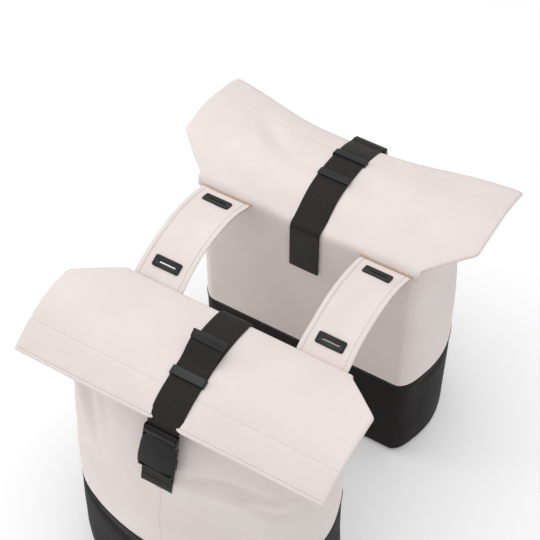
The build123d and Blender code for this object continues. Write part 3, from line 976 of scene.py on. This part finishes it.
def make_buckle_plate(side):
    """The face plate: crowned both ways, with rounded edges."""

    def face(across, up):
        half = plate_half(up)
        crown = 2.2 * (1 - across**2) + 0.9 * (1 - ((up + 3) / 31) ** 2)
        return buckle_place(side, across * half, up, crown - 1.4)

    columns = spread(-1, 1, 1 / 13)
    rows = spread(PLATE_FOOT, PLATE_TOP, 2.6)
    plate = cloth_piece(side + "_buckle_face", columns, rows, face, ACETAL)
    if side == "left":
        plate.data.flip_normals()
    wall(plate, 3.4, 40, edge=(0.9, 3, 45))
    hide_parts(side + "_buckle_plate")
    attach(plate, side + "_strap")


def make_buckle_bars(side):
    """The flattened top bar that the strap shows behind, the thin bar it turns round, their two cheeks, the
    knobs on the bar's ends and the rail along the plate's foot."""
    tilt = buckle_turn(side)
    lie = Matrix.Rotation(math.pi / 2, 4, "Y")
    flatten = Matrix.Diagonal((1, 0.56, 1, 1))
    bm = blank()
    rod(bm, BAR_RADIUS, 50, 28, tilt @ flatten @ lie, buckle_place(side, 0, BAR_UP, -0.4))
    rod(bm, 0.9, 52, 16, tilt @ lie, buckle_place(side, 0, INNER_BAR_UP, -5.0))
    for x in (-CHEEK_X, CHEEK_X):
        soft_block(bm, buckle_place(side, x, 30.5, -2.4), (2.3, 8.0, 22.0), 1.0, 3, tilt)
        knob = bmesh.ops.create_uvsphere(bm, u_segments=12, v_segments=8, radius=1.5 * MM)["verts"]
        bmesh.ops.translate(bm, vec=buckle_place(side, x * 0.985, 40.0, 0.6), verts=knob)
    rod(bm, 1.0, 53, 12, tilt @ lie, buckle_place(side, 0, -30.4, 0.9))
    bars = as_piece(bm, side + "_buckle_bars", ACETAL, sharp=40)
    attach(bars, side + "_strap")


def make_buckle_catch(side):
    """The half of the buckle on the bag: a back plate with walls round it and ribs across it."""
    tilt = buckle_turn(side)
    bm = blank()
    soft_block(bm, buckle_place(side, 0, -8, -9.3), (52.4, 2.4, 47.6), 0.9, 3, tilt)
    for x in (-25.2, 25.2):
        soft_block(bm, buckle_place(side, x, 11.5, -7.2), (2.4, 6.2, 8.6), 0.8, 2, tilt)
        soft_block(bm, buckle_place(side, x, -26.4, -7.2), (2.4, 6.2, 10.8), 0.8, 2, tilt)
    soft_block(bm, buckle_place(side, 0, -30.8, -7.2), (52.0, 6.2, 2.4), 0.8, 2, tilt)
    for k in range(5):
        soft_block(bm, buckle_place(side, 0, -25 + 6 * k, -7.8), (34.0, 1.2, 1.4), 0.5, 1, tilt)
    catch = as_piece(bm, side + "_buckle_catch_body", ACETAL, sharp=40)
    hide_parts(side + "_buckle_catch")
    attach(catch, side + "_bag")


def make_squeeze_buttons(side):
    """The two buttons in the buckle's sides, each with five grip ribs."""
    tilt = buckle_turn(side)
    for end, sign in (("front", 1), ("rear", -1)):
        bm = blank()
        soft_block(bm, buckle_place(side, sign * 25.4, -10, -6.4), (6.6, 4.4, 19.6), 1.4, 3, tilt)
        for k in range(5):
            rib_place = buckle_place(side, sign * 28.7, -16.5 + 3.2 * k, -6.4)
            soft_block(bm, rib_place, (1.0, 3.4, 1.2), 0.35, 1, tilt)
        button = as_piece(bm, f"{side}_{end}_squeeze_button", ACETAL, sharp=40)
        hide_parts(f"{side}_buckle_{end}_button")
        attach(button, f"{side}_{end}_button")


# ---------------------------------------------------------------- the bag's front
def front_wall(side, z):
    """Where the body's cloth stands at its middle at a height."""
    ring = fitted_ring(side, round(z, 1))
    return max(p.y for p in ring if abs(p.x) < 8)


def make_tab(side):
    """Webbing sewn to the bag's front, doubled at its top where it holds the catch."""
    stands_off = ((0, 0.9), (6, 1.4), (13, 2.4))
    points = [(front_wall(side, tab_low.z + rise) + off, tab_low.z + rise) for rise, off in stands_off]
    points += [buckle_yz(side, t, -11.3) for t in (-38, -28, -20)]
    line = Line2D(points)
    tab = band(side + "_front_tab_webbing", side, line, STRAP_HALF, WEBBING, step=2.5)
    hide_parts(side + "_front_tab")
    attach(tab, side + "_bag")
    fold = [line.at(run)[0] for run in (20, 25, 30, 34)]
    fold = [(p.x + WEBBING + lift, p.y) for p, lift in zip(fold, (0.3, 1.1, 1.3, 1.3))]
    lap = band(side + "_front_tab_fold", side, Line2D(fold), STRAP_HALF - 0.5, 1.2, step=1.5)
    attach(lap, side + "_bag")
    out = Vector((0, SIDES[side], 0.12)).normalized()
    for i, run in enumerate((4.5, 16.5)):
        spot = line.at(run)[0]
        places = [(turned(side, x, spot.x + WEBBING / 2 + 0.5, spot.y), out) for x in (-21.5, 21.5)]
        row = stitches(f"{side}_tab_stitches_{i + 1}", places, 3.0, 2.4, 0.7, DARK_THREAD)
        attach(row, side + "_bag")


def make_front_seam(side):
    """The lapped seam down the middle of the front, from the tab to the boot."""
    rows = spread(BOOT_TOP + 1.5, tab_low.z - 1, 5)
    columns = [0.0, 0.3, 1.2, 5.0, 9.0, 9.6]
    lift = {0.0: -0.4, 0.3: 0.55, 1.2: 0.8, 5.0: 0.55, 9.0: 0.25, 9.6: -0.4}
    rings = {z: fitted_ring(side, round(z, 1)) for z in rows}

    def place(across, z):
        ring = [p for p in rings[z] if p.y > BACK_Y + 150]
        ring.sort(key=lambda p: abs(p.x - across))
        a, b = ring[0], next(p for p in ring[1:] if abs(p.x - ring[0].x) > 1)
        share = (across - a.x) / (b.x - a.x)
        return turned(side, across, a.y + (b.y - a.y) * share + lift[across], z)

    seam = cloth_piece(side + "_front_seam", columns, rows, place, PALE)
    if side == "left":
        seam.data.flip_normals()
    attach(seam, side + "_bag")


# ---------------------------------------------------------------- bridges
def arch_point(x, along, high, end):
    """A place on a bridge: along its arc from the middle, high above the cloth's upper face."""
    middle = (cover_low.x + cover_high.x) / 2 * (1 if end == "rear" else -1)
    angle = along / ARCH_RADIUS
    ripple = noise.noise(Vector((x / 26, along / 48, 7.0 if end == "rear" else 2.5)))
    sag = -1.6 * bell(x, 6, 18) * bell(along, 0, 55) + 0.9 * ripple
    sag += 1.6 * smooth(abs(x), 26, 40) * bell(along, 0, 70)
    radius = ARCH_RADIUS + high + sag
    flare = 1 + 0.035 * smooth(abs(along), 55, 96)
    return Vector((middle + x * flare, radius * math.sin(angle), ARCH_Z + radius * math.cos(angle))) * MM


def make_bridge(end):
    reach = ARCH_RADIUS * math.asin(cover_high.y / ARCH_RADIUS)
    half = (cover_high.x - cover_low.x) / 2
    hem = 8.0
    seat = ARCH_RADIUS * math.asin((eyelet_low.y + eyelet_high.y) / 2 / ARCH_RADIUS)
    slot_x, slot_y = 16.4, 3.4
    slot_edges = [seat - slot_y, seat + slot_y, -seat - slot_y, slot_y - seat]
    columns = with_creases(spread(-half, half, 5), [-half + hem, half - hem, -slot_x, slot_x], 0.8)
    rows = with_creases(spread(-reach, reach, 5), slot_edges, 0.8)

    def slotted(x, along):
        return abs(x) < slot_x and abs(abs(along) - seat) < slot_y

    def upper(x, along):
        groove = -0.45 * (bell(x, half - hem, 1.1) + bell(x, hem - half, 1.1))
        groove += 0.35 * smooth(abs(x), half - hem, half - 4)
        edge = -0.9 * smooth(abs(x), half - 1.2, half)
        return arch_point(x, along, groove + edge, end)

    cover = cloth_piece(end + "_bridge_cloth", columns, rows, upper, PALE, hole=slotted)
    wall(cover, COVER_WALL, 60, fine=True)
    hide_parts(end + "_bridge_cover")
    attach(cover, "bridges")

    def under(x, along):
        return arch_point(x, along, -2.1, end)

    columns = with_creases(spread(-half + 0.8, half - 0.8, 6), [-slot_x, slot_x], 0.8)
    name = end + "_bridge_underside"
    lining = cloth_piece(name, columns, rows, under, LINING, hole=slotted)
    wall(lining, LINING_WALL, 60)
    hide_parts(end + "_bridge_lining")
    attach(lining, "bridges")

    for word, x in (("outer", half - hem), ("inner", hem - half)):
        spots = []
        for a in spread(-reach + 2, reach - 2, 6):
            out = arch_point(x, a, 1, end) - arch_point(x, a, 0, end)
            spots.append((arch_point(x, a, -0.1, end), out.normalized()))
        row = stitches(f"{end}_bridge_{word}_stitches", spots, 3.6, 2.5, 0.65, SHADED_PALE_THREAD)
        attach(row, "bridges")


# a bezel's half width, half height and corner radius, at its rim and at its slot
EYELET_RIM = (21.7, 8.5, 2.6)
EYELET_SLOT = (14.6, 1.7, 1.2)
RIM_STEPS = 120


def eyelet_ring(share, turn):
    """A place on the rounded rectangle that lies a share of the way from the bezel's rim to its slot."""
    half_x, half_y, corner = [rim + (slot - rim) * share for rim, slot in zip(EYELET_RIM, EYELET_SLOT)]
    c, s = math.cos(turn), math.sin(turn)
    # a point on the square-cornered outline, then its corner cut by the radius
    scale = 1 / max(abs(c) / half_x, abs(s) / half_y)
    x, y = c * scale, s * scale
    over_x, over_y = abs(x) - (half_x - corner), abs(y) - (half_y - corner)
    if over_x > 0 and over_y > 0:
        size = math.hypot(over_x, over_y)
        x = math.copysign(half_x - corner + corner * over_x / size, x)
        y = math.copysign(half_y - corner + corner * over_y / size, y)
    return x, y


def eyelet_turns():
    """The angles that walk evenly along the four sides of a bezel's rim."""
    turns = []
    for i in range(RIM_STEPS):
        lap = i / RIM_STEPS * 4
        edge, part = int(lap), (lap % 1) * 2 - 1
        x, y = [(1, part), (-part, 1), (-1, -part), (part, -1)][edge]
        turns.append(math.atan2(y * EYELET_RIM[1], x * EYELET_RIM[0]))
    return turns


def make_eyelet(end, side):
    """A slotted bezel with a ribbed rim, a step down to a flat and a deep slot."""
    low, high = node_box(f"{end}_{side}_eyelet")
    centre_x = (low.x + high.x) / 2
    along = ARCH_RADIUS * math.asin(abs(low.y + high.y) / 2 / ARCH_RADIUS)
    tilt = along / ARCH_RADIUS
    # share of the way in from the rim to the slot, height over the cloth, share of the ribbing's depth
    steps = [(0, -0.6, 0), (0, 0.9, 0), (0.03, 1.5, 0.5), (0.1, 2.0, 1), (0.3, 2.1, 1), (0.42, 1.9, 0.2),
             (0.5, 1.3, 0), (0.9, 1.2, 0), (0.98, 0.9, 0), (1.0, 0.2, 0), (1.0, -4.2, 0)]
    turns = eyelet_turns()

    def place(column, row):
        share, height, ribbing = steps[int(row)]
        x, y = eyelet_ring(share, turns[int(column) % RIM_STEPS])
        height += 0.32 * ribbing * (1 if int(column) % 3 == 0 else -0.6)
        spot = Matrix.Rotation(-tilt, 3, "X") @ Vector((x, y, height))
        spot += Vector((centre_x, ARCH_RADIUS * math.sin(tilt), ARCH_Z + ARCH_RADIUS * math.cos(tilt)))
        return Vector((spot.x, SIDES[side] * spot.y, spot.z)) * MM

    name = f"{end}_{side}_eyelet_bezel"
    columns = list(range(RIM_STEPS + 1))
    rows = list(range(len(steps)))
    bezel = cloth_piece(name, columns, rows, place, NYLON, loop=True)
    if side == "left":
        bezel.data.flip_normals()
    wall(bezel, 0.5, 40)
    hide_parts(f"{end}_{side}_eyelet")
    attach(bezel, "bridges")


def make_piping(side):
    """The seams that join a bridge's end to the bag: a thin rolled edge of cloth, coloured tan-brown as
    painted shade of the gap at the seam.
    """
    for end, low, high in (("rear", cover_low.x, cover_high.x), ("front", -cover_high.x, -cover_low.x)):
        bm = blank()
        rod(bm, 0.8, high - low + 8, 14)
        bmesh.ops.subdivide_edges(bm, edges=[e for e in bm.edges if e.calc_length() > 0.02], cuts=12)
        bm.transform(Matrix.Rotation(math.pi / 2, 4, "Y"))
        bm.transform(Matrix.Translation(turned(side, (low + high) / 2, BACK_Y - 1.4, DECK_Z - 12.1)))
        for vert in bm.verts:
            vert.co.z += 0.0004 * math.sin(vert.co.x * 150)
        # the roll's tan-brown colour is painted shade of the gap at the seam
        roll = as_piece(bm, f"{side}_{end}_seam_edge", GAP_SHADE_TAN)
        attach(roll, "bridges")
        if end == "rear":
            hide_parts(side + "_seam_piping")


# ---------------------------------------------------------------- the whole object
for side in SIDES:
    make_body(side)
    make_boot(side)
    make_boot_hem(side)
    top = make_flap(side)
    under = make_lining(side)
    sewn = flap_seams(side)
    make_strap(side)
    make_keeper(side)
    make_buckle_plate(side)
    make_buckle_bars(side)
    make_buckle_catch(side)
    make_squeeze_buttons(side)
    make_tab(side)
    make_front_seam(side)
    make_piping(side)
    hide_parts(side + "_flap_top")
    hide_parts(side + "_flap_lining", side + "_flap_stiffener")
    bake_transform(top)
    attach(under, side + "_flap")

for end in ("rear", "front"):
    make_bridge(end)
    for side in SIDES:
        make_eyelet(end, side)

KEPT = {
    "left_back_board": (BOARD, "board_plastic"),
    "right_back_board": (BOARD, "board_plastic"),
    "left_base_board": (BOARD, "board_plastic"),
    "right_base_board": (BOARD, "board_plastic"),
    "eyelet_back_plates": (NYLON, "grey_plastic"),
}
for name, (material, slot_name) in KEPT.items():
    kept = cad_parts[name]
    kept.data.materials.clear()
    kept.data.materials.append(material)


# ---------------------------------------------------------------- floor, light and camera
def make_floor():
    bm = bmesh.new()
    bmesh.ops.create_grid(bm, x_segments=2, y_segments=2, size=4.0)
    mesh = bpy.data.meshes.new("floor")
    bm.to_mesh(mesh)
    bm.free()
    floor = bpy.data.objects.new("floor", mesh)
    floor.location.z = -0.0005
    bpy.context.scene.collection.objects.link(floor)
    material, _, _ = new_material("floor_paint", 0.9, Base_Color=colour("#FDFDFC"),
                                  Emission_Color=colour("#FFFFFF"), Emission_Strength=0.2)
    mesh.materials.append(material)


def lamp(name, place, target, size, power):
    light = bpy.data.lights.new(name, "AREA")
    light.shape = "RECTANGLE"
    light.size, light.size_y = size
    light.energy = power
    made = bpy.data.objects.new(name, light)
    made.location = place
    made.rotation_euler = (Vector(target) - Vector(place)).to_track_quat("-Z", "Y").to_euler()
    bpy.context.scene.collection.objects.link(made)


make_floor()
lamp("overhead", (-0.2, 0.3, 2.6), (0, 0, 0.35), (2.4, 2.4), 26)
lamp("from_rear_wheel", (-2.3, -0.9, 1.5), (0, -0.1, 0.3), (1.4, 1.4), 9)
lamp("from_viewer", (-0.9, -2.6, 1.6), (0, 0, 0.3), (1.8, 1.2), 4)

world = bpy.data.worlds.new("soft_room")
world.use_nodes = True
world.node_tree.nodes["Background"].inputs[0].default_value = colour("#F7F7FA")
world.node_tree.nodes["Background"].inputs[1].default_value = 0.56
scene = bpy.context.scene
scene.world = world
scene.view_settings.view_transform = "Standard"

AZIMUTH, ELEVATION = math.radians(30.29), math.radians(52.45)
TARGET = Vector((-2.75, -1.35, DECK_Z - 1.4)) * MM
lens = bpy.data.cameras.new("viewer")
lens.lens = 105.2
lens.sensor_width = 36
camera = bpy.data.objects.new("viewer", lens)
behind = Vector((
    math.sin(AZIMUTH) * math.cos(ELEVATION),
    -math.cos(AZIMUTH) * math.cos(ELEVATION),
    math.sin(ELEVATION),
))
camera.location = TARGET + behind * 2.256
camera.rotation_euler = (-behind).to_track_quat("-Z", "Y").to_euler()
scene.collection.objects.link(camera)
scene.camera = camera
